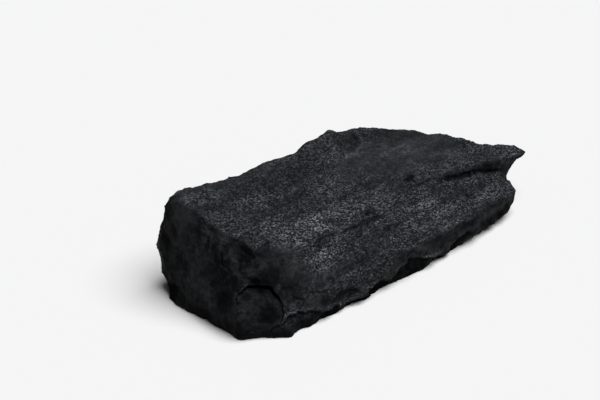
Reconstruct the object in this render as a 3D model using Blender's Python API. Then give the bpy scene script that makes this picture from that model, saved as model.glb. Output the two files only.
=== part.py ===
"""A natural lump of drawing charcoal, built as the beds and spalls that it parts into.

Frame: +X runs along the lump from its broken near end to its split far tips, +Y to its
back, +Z up. The origin is the middle of the lump's footprint box, on the ground.
"""

import math
from dataclasses import dataclass

import bmesh
import bpy
from mathutils import Euler, Matrix, Vector

MM = 0.001

# Driving dimensions of the whole lump, in millimetres.
LENGTH = 128.0  # near end to the upper far tip, along the top
WIDTH = 38.0  # front line to the back edge of the top
HEIGHT = 36.5  # ground to the top's highest corner, at the near back
CORNER_SETBACK = 6.3  # that corner's distance forward from the back edge

# Heights of the dipping planes over the front line, at the near end and at the far tip.
TOP_NEAR_HEIGHT = 25.4
TOP_FAR_HEIGHT = 14.5
TERRACE_NEAR_HEIGHT = 13.0  # the widest line of the middle bed
TERRACE_FAR_HEIGHT = 8.5
BASE_NEAR_DEPTH = 6.0  # thickness of the base bed
BASE_FAR_DEPTH = 3.4
BASE_BACK_DEPTH = 7.9  # and under the back edge, at the near end
CAP_NEAR_DEPTH = 2.6  # thickness of the cap at the near end
CAP_FAR_DEPTH = 6.2  # thickness of the cap at its far tip
PARTING_GAP = 0.3  # open width of every parting
PARTING_LAP = 0.8  # how far past the cap's parting each side is drawn before it is cut there
EDGE_WEAR = 0.7  # width of the worn bevel along the fracture edges
WORN_ANGLE = math.radians(28)  # edges turned more sharply than this are worn

# The spalls: each is the part of the lump inside an ellipsoid, drawn in a little.
FLAKE_RADII = (7.2, 5.6, 7.6)
FLAKE_DRAWN_IN = 0.9
KNOB_RADII = (4.2, 4.2, 3.4)
KNOB_DRAWN_IN = 0.3
RIM_RADII = (13.0, 4.2, 4.0)
RIM_DRAWN_IN = 0.5
FLAKE_MIDDLE_HEIGHT = 9.6
KNOB_RISE = 1.0  # height of the knob's middle above the flake's
HOLLOW_RISE = 8.4  # height of the hollow's middle above the flake's


def near_front(x, y):
    """A plan point measured from the near end and the front line."""
    return (x, y)


def near_back(x, y):
    """A plan point measured from the near end and forward from the back edge."""
    return (x, WIDTH - y)


def far_front(x, y):
    """A plan point measured back from the far tip and from the front line."""
    return (LENGTH - x, y)


def far_back(x, y):
    """A plan point measured back from the far tip and forward from the back edge."""
    return (LENGTH - x, WIDTH - y)


@dataclass(frozen=True)
class Bedding:
    """A dipping plane: its height above the ground at any plan point."""

    height: float
    fall_along: float
    rise_across: float

    def at(self, x, y):
        """Height of the plane over the plan point (x, y), in millimetres."""
        return self.height - self.fall_along * x + self.rise_across * y

    def above(self, place, rise):
        """The point this far above the plane, or below it, over a plan point."""
        return (*place, self.at(*place) + rise)

    def raised(self, rise):
        """The parallel plane that lies this much above."""
        return Bedding(self.height + rise, self.fall_along, self.rise_across)

    def normal(self):
        """Upward unit normal of the plane."""
        return Vector((self.fall_along, -self.rise_across, 1.0)).normalized()

    def point(self):
        """The plane's point above the plan origin, in metres."""
        return Vector((0.0, 0.0, self.height)) * MM


def dipping(near_height, far_height, rise_across):
    """The plane with these heights over the front line's two ends."""
    return Bedding(near_height, (near_height - far_height) / LENGTH, rise_across)


TOP_RISE = (HEIGHT - TOP_NEAR_HEIGHT) / (WIDTH - CORNER_SETBACK)
BASE_RISE = (BASE_BACK_DEPTH - BASE_NEAR_DEPTH) / WIDTH
TOP = dipping(TOP_NEAR_HEIGHT, TOP_FAR_HEIGHT, TOP_RISE)
CAP_UNDERSIDE = dipping(TOP_NEAR_HEIGHT - CAP_NEAR_DEPTH, TOP_FAR_HEIGHT - CAP_FAR_DEPTH, TOP_RISE)
TERRACE = dipping(TERRACE_NEAR_HEIGHT, TERRACE_FAR_HEIGHT, 0.0)
BASE_TOP = dipping(BASE_NEAR_DEPTH, BASE_FAR_DEPTH, BASE_RISE)
GROUND = dipping(0.0, 0.0, 0.0)

# Outlines of the lump where each plane cuts it. Each starts at the near front corner and
# runs along the front, round the far tips, back along the back and across the near end.
TOP_OUTLINE = (
    near_front(10.4, 5.7),
    near_front(16.0, 4.6),
    near_front(27.0, 2.0),
    near_front(46.5, 1.6),
    near_front(63.5, 7.4),
    far_front(38.0, 8.3),
    far_front(17.0, 8.0),
    far_front(0.0, 6.0),
    far_front(0.6, 11.6),
    far_back(18.5, 15.6),
    far_back(35.0, 5.6),
    far_back(60.0, -1.4),
    near_back(35.0, 6.4),
    near_back(1.2, 6.3),
    near_front(3.8, 18.0),
)
CAP_OUTLINE = (
    near_front(8.4, 4.6),
    near_front(15.4, 2.4),
    near_front(26.4, 0.0),
    near_front(47.5, -1.0),
    near_front(64.0, 1.0),
    far_front(38.0, 5.6),
    far_front(17.0, 6.4),
    far_front(8.0, 5.6),
    far_front(7.0, 11.0),
    far_back(18.6, 15.6),
    far_back(35.0, 5.4),
    far_back(60.5, -2.2),
    near_back(35.0, 4.0),
    near_back(-0.6, 2.2),
    near_front(2.0, 18.0),
)
TERRACE_OUTLINE = (
    near_front(1.6, 1.6),
    near_front(9.6, -3.4),
    near_front(24.6, -4.6),
    near_front(44.6, -6.2),
    near_front(65.0, -7.6),
    far_front(36.0, -5.4),
    far_front(18.0, -3.4),
    far_front(9.2, -1.2),
    far_front(9.0, 7.0),
    far_back(16.0, 19.4),
    far_back(35.0, 4.4),
    far_back(61.0, -4.0),
    near_back(34.0, -1.4),
    near_back(-1.5, -3.2),
    near_front(-1.2, 20.0),
)
BASE_OUTLINE = (
    near_front(-0.6, -0.2),
    near_front(10.6, -5.8),
    near_front(24.4, -7.8),
    near_front(44.0, -8.6),
    near_front(66.0, -7.6),
    far_front(36.0, -5.8),
    far_front(19.0, -3.4),
    far_front(11.6, -0.8),
    far_front(12.0, 8.0),
    far_back(18.0, 18.4),
    far_back(38.0, 5.0),
    far_back(62.0, -3.0),
    near_back(33.0, -1.0),
    near_back(-2.8, -0.6),
    near_front(-2.6, 20.0),
)
GROUND_OUTLINE = (
    near_front(0.6, 1.2),
    near_front(11.4, -4.4),
    near_front(24.0, -6.2),
    near_front(43.5, -6.9),
    near_front(66.0, -5.2),
    far_front(37.0, -3.2),
    far_front(24.0, -0.8),
    far_front(18.0, 3.0),
    far_front(19.0, 10.0),
    far_back(24.0, 18.0),
    far_back(42.0, 7.4),
    far_back(64.0, 1.0),
    near_back(33.0, 2.6),
    near_back(-2.6, 6.0),
    near_front(-2.2, 19.0),
)
HALF_GAP = PARTING_GAP / 2
CAP_LEVELS = ((CAP_UNDERSIDE.raised(-PARTING_LAP), CAP_OUTLINE), (TOP, TOP_OUTLINE))
LOWER_LEVELS = (
    (GROUND, GROUND_OUTLINE),
    (BASE_TOP, BASE_OUTLINE),
    (TERRACE, TERRACE_OUTLINE),
    (CAP_UNDERSIDE.raised(PARTING_LAP), CAP_OUTLINE),
)

# The spalls' middles. The rim spall sits below the terrace, on the front face.
FLAKE_MIDDLE = (*near_front(6.6, -1.2), FLAKE_MIDDLE_HEIGHT)
KNOB_MIDDLE = (*near_front(16.0, -5.2), FLAKE_MIDDLE_HEIGHT + KNOB_RISE)
HOLLOW_MIDDLE = (*near_front(5.4, -1.4), FLAKE_MIDDLE_HEIGHT + HOLLOW_RISE)
RIM_MIDDLE = TERRACE.above(near_front(55.0, -8.2), -3.7)


def clear_scene():
    """Remove whatever the file opened with."""
    for old in list(bpy.data.objects):
        bpy.data.objects.remove(old)


def new_collection(name, helper):
    """A collection in the scene; a helper one is left out of every render."""
    made = bpy.data.collections.new(name)
    bpy.context.scene.collection.children.link(made)
    made.hide_render = helper
    return made


def charcoal(name, colour, roughness):
    """A Principled material of a black, non-metallic finish."""
    made = bpy.data.materials.new(name)
    made.use_nodes = True
    shader = made.node_tree.nodes["Principled BSDF"]
    shader.inputs["Base Color"].default_value = (*colour, 1.0)
    shader.inputs["Roughness"].default_value = roughness
    shader.inputs["Metallic"].default_value = 0.0
    return made


def stack(levels):
    """A closed bmesh of these outlines, bridged upwards, with worn edges."""
    made = bmesh.new()
    rings = []
    for plane, outline in levels:
        verts = [made.verts.new(Vector((x, y, plane.at(x, y))) * MM) for x, y in outline]
        rings.append([made.edges.new(pair) for pair in zip(verts, verts[1:] + verts[:1])])
    for lower, upper in zip(rings, rings[1:]):
        bmesh.ops.bridge_loops(made, edges=lower + upper)
    for ring in (rings[0], rings[-1]):
        bmesh.ops.contextual_create(made, geom=ring)
    bmesh.ops.recalc_face_normals(made, faces=made.faces)
    bmesh.ops.triangulate(made, faces=[f for f in made.faces if len(f.verts) == 4])
    sharp = [e for e in made.edges if e.calc_face_angle() > WORN_ANGLE]
    bmesh.ops.bevel(
        made, geom=sharp, offset=EDGE_WEAR * MM, segments=1, profile=0.5, affect="EDGES",
        clamp_overlap=True, material=-1,
    )
    bmesh.ops.triangulate(made, faces=made.faces)
    return made


def slab(source, plane, side):
    """The part of a closed bmesh on one side of a dipping plane, closed again."""
    made = source.copy()
    everything = made.verts[:] + made.edges[:] + made.faces[:]
    bmesh.ops.bisect_plane(
        made, geom=everything, dist=1e-7, plane_co=plane.point(), plane_no=plane.normal(),
        **{side: True},
    )
    bmesh.ops.holes_fill(made, edges=[e for e in made.edges if e.is_boundary], sides=0)
    bmesh.ops.recalc_face_normals(made, faces=made.faces)
    bmesh.ops.triangulate(made, faces=made.faces)
    return made


def add_object(name, source, collection, place, finish=None):
    """An object in the collection that holds this bmesh at the common place."""
    data = bpy.data.meshes.new(name)
    source.to_mesh(data)
    source.free()
    made = bpy.data.objects.new(name, data)
    made.location = place
    if finish is not None:
        data.materials.append(finish)
    collection.objects.link(made)
    return made


def ellipsoid(middle, radii, turn=(0.0, 0.0, 0.0)):
    """A faceted ellipsoid as a bmesh; sizes in millimetres, turn in degrees."""
    made = bmesh.new()
    bmesh.ops.create_icosphere(made, subdivisions=3, radius=1.0)
    stretch = Matrix.Diagonal((*(r * MM for r in radii), 1.0))
    spin = Euler([math.radians(a) for a in turn]).to_matrix().to_4x4()
    made.transform(Matrix.Translation(Vector(middle) * MM) @ spin @ stretch)
    return made


def grown(radii, extra):
    """The radii with the same clearance added to each."""
    return tuple(r + extra for r in radii)


def cutter(name, source, collection, place):
    """A hidden helper object for the Booleans."""
    made = add_object(name, source, collection, place)
    made.display_type = "WIRE"
    made.hide_render = True
    return made


def cut(target, tool, operation="DIFFERENCE"):
    """Give the target an exact Boolean with this tool."""
    made = target.modifiers.new(tool.name, "BOOLEAN")
    made.operation = operation
    made.solver = "EXACT"
    made.object = tool


def spall(name, source, inward, depth, shape, finish, nodes, helpers, place):
    """A chip, which is the source drawn in along inward and cut by an ellipsoid, and its seat."""
    body = source.copy()
    bmesh.ops.translate(body, verts=body.verts, vec=Vector(inward).normalized() * depth * MM)
    made = add_object(name, body, nodes, place, finish)
    form = cutter(f"{name}_form", ellipsoid(*shape), helpers, place)
    cut(made, form, "INTERSECT")
    middle, radii, turn = shape
    seat = ellipsoid(middle, grown(radii, PARTING_GAP), turn)
    return made, cutter(f"{name}_seat", seat, helpers, place)


def main():
    """Build the beds and the spalls, each as its own object."""
    clear_scene()
    nodes = new_collection("charcoal_lump", helper=False)
    helpers = new_collection("cutters", helper=True)
    upper = slab(stack(CAP_LEVELS), CAP_UNDERSIDE.raised(HALF_GAP), "clear_inner")
    lower = slab(stack(LOWER_LEVELS), CAP_UNDERSIDE.raised(-HALF_GAP), "clear_outer")
    xs = [v.co.x for v in lower.verts] + [v.co.x for v in upper.verts]
    ys = [v.co.y for v in lower.verts] + [v.co.y for v in upper.verts]
    place = Vector((-(min(xs) + max(xs)) / 2, -(min(ys) + max(ys)) / 2, 0.0))

    cap = add_object(
        "cap_bed", upper, nodes, place, charcoal("cap_bed_grain", (0.045, 0.047, 0.050), 0.55)
    )
    middle = add_object(
        "middle_bed", slab(lower, BASE_TOP.raised(HALF_GAP), "clear_inner"), nodes, place,
        charcoal("middle_bed_grain", (0.036, 0.038, 0.041), 0.6),
    )
    base = add_object(
        "base_bed", slab(lower, BASE_TOP.raised(-HALF_GAP), "clear_outer"), nodes, place,
        charcoal("base_bed_grain", (0.024, 0.025, 0.027), 0.7),
    )
    spalls = (
        ("corner_flake", (1.0, 1.0, 0.0), FLAKE_DRAWN_IN, (FLAKE_MIDDLE, FLAKE_RADII, (0, 0, -28))),
        ("corner_knob", (0.2, 1.0, 0.0), KNOB_DRAWN_IN, (KNOB_MIDDLE, KNOB_RADII, (0, 20, -10))),
        ("rim_spall", (0.0, 1.0, 0.2), RIM_DRAWN_IN, (RIM_MIDDLE, RIM_RADII, (0, 3, 2))),
    )
    finish = charcoal("spall_fracture", (0.028, 0.029, 0.031), 0.45)
    built = [
        spall(name, lower, inward, depth, shape, finish.copy(), nodes, helpers, place)
        for name, inward, depth, shape in spalls
    ]
    (_, flake_seat), (knob, knob_seat), (_, rim_seat) = built
    cut(knob, flake_seat)
    for bed in (middle, base):
        for seat in (flake_seat, knob_seat, rim_seat):
            cut(bed, seat)

    chips = (
        ("hollow_chip", HOLLOW_MIDDLE, (6.5, 4.6, 3.2), (0, -8, -28), (middle,)),
        ("corner_chip", TOP.above(near_front(17.0, 2.2), 0.9), (7.0, 3.2, 3.4), (14, 8, -8),
         (cap, middle)),
        ("back_scar", TOP.above(near_back(52.0, 3.6), 3.2), (7.5, 4.2, 4.0), (20, 4, 12), (cap,)),
        ("far_chip", TERRACE.above(far_front(22.0, -6.6), -0.7), (8.0, 3.4, 3.2), (0, 4, 4),
         (middle,)),
        ("rim_chip", BASE_TOP.above(near_front(34.0, -9.4), -0.7), (7.5, 3.2, 3.6), (0, 0, 0),
         (middle, base)),
        ("end_chip", CAP_UNDERSIDE.above(near_back(-2.4, 4.4), -4.4), (2.4, 5.0, 5.2), (0, 0, 0),
         (cap, middle)),
    )
    for name, centre, radii, turn, targets in chips:
        tool = cutter(name, ellipsoid(centre, radii, turn), helpers, place)
        for target in targets:
            cut(target, tool)
    lower.free()


main()
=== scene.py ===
"""A natural lump of drawing charcoal: its visible beds and spalls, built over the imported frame.

Lengths inside this file are millimetres in the lump's own plan: x runs from the broken near
end to the far tips, y from the front line to the back, z up from the ground. LumpPlan turns
them into the frame's metres.
"""

import logging
import math
from abc import ABC, abstractmethod
from dataclasses import dataclass, field
from enum import Enum, IntEnum

import bmesh
import bpy
import numpy as np
from mathutils import Euler, Matrix, Vector


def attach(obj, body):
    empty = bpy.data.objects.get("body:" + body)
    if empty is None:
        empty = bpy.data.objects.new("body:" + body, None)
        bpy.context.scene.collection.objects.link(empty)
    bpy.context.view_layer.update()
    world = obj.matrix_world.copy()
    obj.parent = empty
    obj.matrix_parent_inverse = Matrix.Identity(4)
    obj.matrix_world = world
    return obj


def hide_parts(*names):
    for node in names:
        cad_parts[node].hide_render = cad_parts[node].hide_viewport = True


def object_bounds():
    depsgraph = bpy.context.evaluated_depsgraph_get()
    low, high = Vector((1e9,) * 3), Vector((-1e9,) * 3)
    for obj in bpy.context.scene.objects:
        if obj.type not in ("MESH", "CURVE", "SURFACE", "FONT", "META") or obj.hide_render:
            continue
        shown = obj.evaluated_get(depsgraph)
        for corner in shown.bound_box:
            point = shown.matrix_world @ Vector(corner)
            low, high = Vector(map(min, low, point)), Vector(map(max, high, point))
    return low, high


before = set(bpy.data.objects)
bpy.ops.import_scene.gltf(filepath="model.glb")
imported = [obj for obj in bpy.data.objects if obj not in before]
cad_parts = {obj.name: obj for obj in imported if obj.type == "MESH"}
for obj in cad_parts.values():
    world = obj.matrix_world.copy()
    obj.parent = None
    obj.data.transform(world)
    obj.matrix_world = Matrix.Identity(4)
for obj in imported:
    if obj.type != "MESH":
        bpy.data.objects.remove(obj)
CAD_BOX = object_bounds()

MM = 0.001
QUAD_MM = 0.36  # side of the remeshed skin's quads
SEAM_MM = 0.001  # corners of a CAD node closer than this are one corner
LEVEL_ENOUGH = 0.7  # a face whose normal rises more than this looks up
SAME_WAY = 0.99999  # two normals whose product is greater look the same way
LINE_MARGIN_MM = 3.0  # how far from a crack or a ridge its own groove can reach
SPLIT_GRAIN_TURN = 40.0  # degrees that the split grain is turned from the lump's length
log = logging.getLogger("charcoal_lump")


class Bed(Enum):
    """The three beds, by node name."""

    CAP = "cap_bed"
    MIDDLE = "middle_bed"
    BASE = "base_bed"


class Spall(Enum):
    """The three seated chips, by node name."""

    FLAKE = "corner_flake"
    KNOB = "corner_knob"
    RIM = "rim_spall"


class Cut(Enum):
    """What a cutting form leaves, by the modifier's own word."""

    INSIDE = "INTERSECT"
    OUTSIDE = "DIFFERENCE"


class Seed(IntEnum):
    """The seed of each kind of unevenness, so that none repeats another."""

    DETAILS = 3
    FACET_BEND = 5
    CHIP_BEND = 6
    SWELL = 7
    FACETS = 11
    CHIPS = 13
    HACKLE = 17
    LAMINA_BEND = 19
    LAMINAE = 23
    TORN_LAYERS = 29
    STREAKS = 31
    GRAIN = 33
    GENTLE = 37
    WARP = 41
    EDGE_BEND = 43
    WIDE_NIBBLES = 47
    SMALL_NIBBLES = 53
    EGG = 59


def smoothstep(low: float, high: float, value: np.ndarray) -> np.ndarray:
    """Rise smoothly from 0 at low to 1 at high."""
    t = np.clip((value - low) / (high - low), 0.0, 1.0)
    return t * t * (3.0 - 2.0 * t)


@dataclass(frozen=True)
class LumpPlan:
    """Where the lump's plan lies in the frame.

    Attributes:
        front_line: distance from the box's front side to the plan's y = 0.
        near_end: distance from the box's near side to the plan's x = 0.
    """

    front_line: float = 8.7
    near_end: float = 3.0

    def origin(self) -> np.ndarray:
        """Return the plan's origin in the frame, in millimetres."""
        low = CAD_BOX[0] / MM
        return np.array([low.x + self.near_end, low.y + self.front_line, 0.0])

    def to_plan(self, metres: np.ndarray) -> np.ndarray:
        """Turn frame metres into plan millimetres."""
        return metres / MM - self.origin()

    def to_frame(self, plan: np.ndarray) -> np.ndarray:
        """Turn plan millimetres into frame metres."""
        return (plan + self.origin()) * MM

    def point(self, x: float, y: float, z: float) -> Vector:
        """Return one plan point as a frame vector in metres."""
        return Vector(self.to_frame(np.array([x, y, z])))


PLAN = LumpPlan()


@dataclass(frozen=True)
class Noise:
    """Seeded gradient noise and cell noise over points in millimetres.

    Attributes:
        seed: the seed.
    """

    seed: int

    OCTAVE_SHIFT = 17.3
    CREASE = 0.07

    def _hash(self, cell: np.ndarray, salt: int) -> np.ndarray:
        """Mix integer cell coordinates into 32 bits.

        Args:
            cell: whole-number coordinates, one row each.
            salt: which of a cell's values is wanted.

        Returns:
            One whole number for each cell.
        """
        h = cell[:, 0] * 374761393 + cell[:, 1] * 668265263 + cell[:, 2] * 1440662683
        h = (h + (self.seed * 97 + salt) * 1274126177) & 0xFFFFFFFF
        h = ((h ^ (h >> 13)) * 1274126177) & 0xFFFFFFFF
        h = ((h ^ (h >> 15)) * 2246822519) & 0xFFFFFFFF
        return h ^ (h >> 16)

    def _spread(self, cell: np.ndarray, salt: int) -> np.ndarray:
        """Give each cell a vector of its own.

        Args:
            cell: whole-number coordinates, one row each.
            salt: which of a cell's values is wanted.

        Returns:
            Vectors in the cube from -1 to 1.
        """
        h = self._hash(cell, salt)
        parts = [(h >> shift) & 1023 for shift in (0, 10, 20)]
        return np.stack(parts, axis=1) / 511.5 - 1.0

    def smooth(self, points: np.ndarray, size: float) -> np.ndarray:
        """Gradient noise of about -1 to 1 whose swells are about this size.

        Args:
            points: positions, one row each.
            size: distance between the lattice's corners.

        Returns:
            One value for each point.
        """
        scaled = points / size
        cell = np.floor(scaled).astype(np.int64)
        part = scaled - cell
        ease = part * part * part * (part * (part * 6.0 - 15.0) + 10.0)
        total = np.zeros(len(points))
        for corner in np.ndindex(2, 2, 2):
            step = np.array(corner)
            gradient = self._spread(cell + step, 0)
            weight = np.prod(np.where(step == 1, ease, 1.0 - ease), axis=1)
            total += weight * np.einsum("ij,ij->i", gradient, part - step)
        return total * 1.5

    def fractal(self, points: np.ndarray, size: float, octaves: int) -> np.ndarray:
        """Sum octaves of smooth noise, each half the size and half the height.

        Args:
            points: positions, one row each.
            size: size of the largest swells.
            octaves: how many are summed.

        Returns:
            One value for each point.
        """
        total = np.zeros(len(points))
        for octave in range(octaves):
            shifted = points + self.OCTAVE_SHIFT * octave
            total += self.smooth(shifted, size / 2.0**octave) / 2.0**octave
        return total

    def facets(self, points: np.ndarray, size: float) -> np.ndarray:
        """Tilted planes over irregular cells, as a brittle break leaves them.

        Args:
            points: positions, one row each.
            size: distance between the cells' middles.

        Returns:
            Heights of about -1 to 1, with a crease between neighbouring cells.
        """
        scaled = points / size
        cell = np.floor(scaled).astype(np.int64)
        first = np.full(len(points), np.inf)
        second = np.full(len(points), np.inf)
        near = np.zeros(len(points))
        after = np.zeros(len(points))
        for corner in np.ndindex(3, 3, 3):
            other = cell + (np.array(corner) - 1)
            middle = other + 0.5 + 0.42 * self._spread(other, 1)
            away = scaled - middle
            gap = np.linalg.norm(away, axis=1)
            height = np.einsum("ij,ij->i", away, self._spread(other, 2))
            height += 0.35 * self._spread(other, 3)[:, 0]
            closer = gap < first
            later = ~closer & (gap < second)
            second = np.where(closer, first, np.where(later, gap, second))
            after = np.where(closer, near, np.where(later, height, after))
            near = np.where(closer, height, near)
            first = np.where(closer, gap, first)
        share = 0.5 * (1.0 - smoothstep(0.0, self.CREASE, second - first))
        return near * (1.0 - share) + after * share


@dataclass
class Surface:
    """A mesh's points and directions as arrays, in plan millimetres.

    Attributes:
        mesh: the mesh.
        points: each point's place.
        normals: each point's outward direction.
        edges: the two points of each edge.
        degree: how many edges meet at each point.
        marks: the painted values, by attribute name.
    """

    mesh: bpy.types.Mesh
    points: np.ndarray = field(init=False)
    normals: np.ndarray = field(init=False)
    edges: np.ndarray = field(init=False)
    degree: np.ndarray = field(init=False)
    marks: dict[str, np.ndarray] = field(init=False, default_factory=dict)

    BEDDING_NORMAL = np.array([0.08, -0.33, 0.94])
    PUSH_BACK = 1.04

    def __post_init__(self) -> None:
        """Read the mesh."""
        count = len(self.mesh.vertices)
        flat = np.zeros(count * 3, np.float32)
        self.mesh.vertices.foreach_get("co", flat)
        self.points = PLAN.to_plan(flat.reshape(-1, 3).astype(float))
        ends = np.zeros(len(self.mesh.edges) * 2, np.int32)
        self.mesh.edges.foreach_get("vertices", ends)
        self.edges = ends.reshape(-1, 2)
        self.degree = np.bincount(self.edges.ravel(), minlength=count).astype(float)
        self.refresh()

    def write(self) -> None:
        """Store the points and the marks in the mesh."""
        metres = PLAN.to_frame(self.points).astype(np.float32)
        self.mesh.vertices.foreach_set("co", metres.ravel())
        self.mesh.update()
        for name, values in self.marks.items():
            layer = self.mesh.attributes.get(name)
            if layer is None:
                layer = self.mesh.attributes.new(name, "FLOAT", "POINT")
            layer.data.foreach_set("value", values.astype(np.float32))

    def refresh(self) -> None:
        """Recompute the normals from the present points."""
        metres = PLAN.to_frame(self.points).astype(np.float32)
        self.mesh.vertices.foreach_set("co", metres.ravel())
        self.mesh.update()
        flat = np.zeros(len(self.points) * 3, np.float32)
        self.mesh.vertex_normals.foreach_get("vector", flat)
        self.normals = flat.reshape(-1, 3).astype(float)

    def blurred(self, values: np.ndarray, rounds: int) -> np.ndarray:
        """Average values over neighbouring points.

        Args:
            values: a number or a vector for each point.
            rounds: how many times.

        Returns:
            The averaged values.
        """
        a, b = self.edges[:, 0], self.edges[:, 1]
        count = len(self.points)
        for _ in range(rounds):
            if values.ndim == 1:
                total = np.bincount(a, values[b], count) + np.bincount(b, values[a], count)
                values = 0.5 * values + 0.5 * total / self.degree
            else:
                values = np.stack([self.blurred(v, 1) for v in values.T], axis=1)
        return values

    def relax(self, rounds: int) -> None:
        """Smooth the points, pushing back after each round so that tips don't shrink.

        Args:
            rounds: how many times.
        """
        for _ in range(rounds):
            self.points = self.blurred(self.points, 1)
            self.points = self.points - self.PUSH_BACK * (self.blurred(self.points, 1) - self.points)
        self.refresh()

    def mean_normals(self, rounds: int) -> np.ndarray:
        """Return unit normals blurred over the neighbourhood."""
        wide = self.blurred(self.normals, rounds)
        return wide / np.linalg.norm(wide, axis=1, keepdims=True)

    def push(self, heights: np.ndarray, along: np.ndarray | None = None) -> None:
        """Move each point outwards.

        Args:
            heights: how far, for each point.
            along: the directions, where they aren't the normals.
        """
        direction = self.normals if along is None else along
        self.points = self.points + direction * heights[:, None]
        self.refresh()

    def push_some(self, chosen: np.ndarray, heights: np.ndarray) -> None:
        """Move only some points outwards.

        Args:
            chosen: which points.
            heights: how far, for each of them.
        """
        if len(chosen):
            self.points[chosen] += self.normals[chosen] * heights[:, None]
            self.refresh()

    def around(self, stops: np.ndarray, margin: float) -> np.ndarray:
        """Choose the points in the box about some places, this much larger."""
        low, high = stops.min(axis=0) - margin, stops.max(axis=0) + margin
        return np.flatnonzero(((self.points > low) & (self.points < high)).all(axis=1))

    def mark(self, name: str, values: np.ndarray) -> None:
        """Keep a painted value for each point, under this attribute name."""
        self.marks[name] = values

    def mark_more(self, name: str, values: np.ndarray, chosen: np.ndarray | None = None) -> None:
        """Raise a painted value where the new values are higher.

        Args:
            name: the attribute's name.
            values: the new values.
            chosen: the points that they belong to, if not all.
        """
        kept = self.marks.setdefault(name, np.zeros(len(self.points)))
        here = slice(None) if chosen is None else chosen
        kept[here] = np.maximum(kept[here], values)


class Step(ABC):
    """One thing that is done to the lump's surface."""

    @abstractmethod
    def carve(self, surface: Surface, noise: Noise) -> None:
        """Change the surface.

        Args:
            surface: the surface to change.
            noise: what makes edges wander.
        """


def tapered(along: np.ndarray, share: float) -> np.ndarray:
    """Fade in and out over this share of a line, at each of its ends."""
    return smoothstep(0.0, share, along) * (1.0 - smoothstep(1.0 - share, 1.0, along))


@dataclass(frozen=True)
class Line:
    """A drawn line over the lump.

    Attributes:
        stops: the plan points that it runs through.
    """

    stops: tuple[tuple[float, float, float], ...]

    def nearest(self, points: np.ndarray, flat: bool = False) -> tuple[np.ndarray, ...]:
        """Find the closest place on the line.

        Args:
            points: positions, one row each.
            flat: whether to measure in plan only, without heights.

        Returns:
            The distance, the share of the way along, and the side (+ on the left).
        """
        used = points[:, :2] if flat else points
        stops = np.array(self.stops)[:, : used.shape[1]]
        legs = np.diff(stops, axis=0)
        lengths = np.linalg.norm(legs, axis=1)
        before = np.concatenate([[0.0], np.cumsum(lengths)[:-1]])
        best = np.full(len(points), np.inf)
        along = np.zeros(len(points))
        side = np.zeros(len(points))
        for start, leg, length, so_far in zip(stops, legs, lengths, before):
            away = used - start
            t = np.clip(away @ leg / length**2, 0.0, 1.0)
            gap = np.linalg.norm(away - t[:, None] * leg, axis=1)
            closer = gap < best
            best = np.where(closer, gap, best)
            along = np.where(closer, (so_far + t * length) / lengths.sum(), along)
            cross = leg[0] * away[:, 1] - leg[1] * away[:, 0]
            side = np.where(closer, np.sign(cross), side)
        return best, along, side


@dataclass(frozen=True)
class Crack(Step):
    """A thin groove along a line, deepest in its middle, with painted shade along it.

    Attributes:
        line: where it runs.
        width: its half width.
        depth: its depth.
        wander: how far its edge strays.
    """

    line: Line
    width: float
    depth: float
    wander: float = 0.25

    def carve(self, surface: Surface, noise: Noise) -> None:
        """Cut the groove, with a slightly wandering edge.

        Args:
            surface: the surface to change.
            noise: what makes edges wander.
        """
        chosen = surface.around(np.array(self.line.stops), LINE_MARGIN_MM)
        near = surface.points[chosen]
        stray = self.wander * noise.smooth(near, 1.6)
        gap, along, _ = self.line.nearest(near)
        cut = np.exp(-(((gap + stray) / self.width) ** 2)) * (0.35 + 0.65 * tapered(along, 0.15))
        surface.push_some(chosen, -self.depth * cut)
        # painted shade along the groove
        surface.mark_more("shade", cut * min(1.0, 1.4 * self.depth), chosen)


@dataclass(frozen=True)
class Ridge(Step):
    """A thin raised line, worn and with a painted highlight.

    Attributes:
        line: where it runs.
        width: its half width.
        height: its height.
        wander: how far it strays.
    """

    line: Line
    width: float
    height: float
    wander: float = 0.3

    def carve(self, surface: Surface, noise: Noise) -> None:
        """Raise the ridge and mark it as worn, with a painted highlight.

        Args:
            surface: the surface to change.
            noise: what makes edges wander.
        """
        chosen = surface.around(np.array(self.line.stops), LINE_MARGIN_MM)
        near = surface.points[chosen]
        stray = self.wander * noise.smooth(near, 1.4)
        gap, along, _ = self.line.nearest(near)
        rise = np.exp(-(((gap + stray) / self.width) ** 2)) * tapered(along, 0.2)
        rise = rise * (0.6 + 0.4 * noise.smooth(near, 1.1))
        surface.push_some(chosen, self.height * rise)
        # wear and a painted highlight along the ridge
        surface.mark_more("wear_and_edge_highlight", rise, chosen)


@dataclass(frozen=True)
class Scarp(Step):
    """A small step: the surface on the line's right side lies lower.

    Attributes:
        line: the step's edge; its heights don't matter.
        height: the drop.
        reach: how far from the edge the drop has faded out.
        edge: how wide the edge is.
        wander: how far the edge strays.
        level: the usual height of the surfaces that have such steps.
        margin: how far above or below that a step may lie.
    """

    line: Line
    height: float
    reach: float
    edge: float = 0.5
    wander: float = 0.7
    level: float = 20.0
    margin: float = 20.0

    def carve(self, surface: Surface, noise: Noise) -> None:
        """Lower the far side of the line, fading out over the reach.

        Args:
            surface: the surface to change.
            noise: what makes edges wander.
        """
        flat = np.array(self.line.stops) * (1.0, 1.0, 0.0) + (0.0, 0.0, self.level)
        chosen = surface.around(flat, self.reach + self.margin)
        near = surface.points[chosen]
        stray = self.wander * noise.fractal(near, 3.0, 3)
        gap, along, side = self.line.nearest(near, flat=True)
        ahead = -side * gap + stray
        fade = tapered(along, 0.12)
        facing = smoothstep(0.2, 0.6, surface.normals[chosen, 2])
        drop = smoothstep(0.0, self.edge, ahead) * (1.0 - smoothstep(0.3, 1.0, ahead / self.reach))
        surface.push_some(chosen, -self.height * drop * fade * facing)


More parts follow.
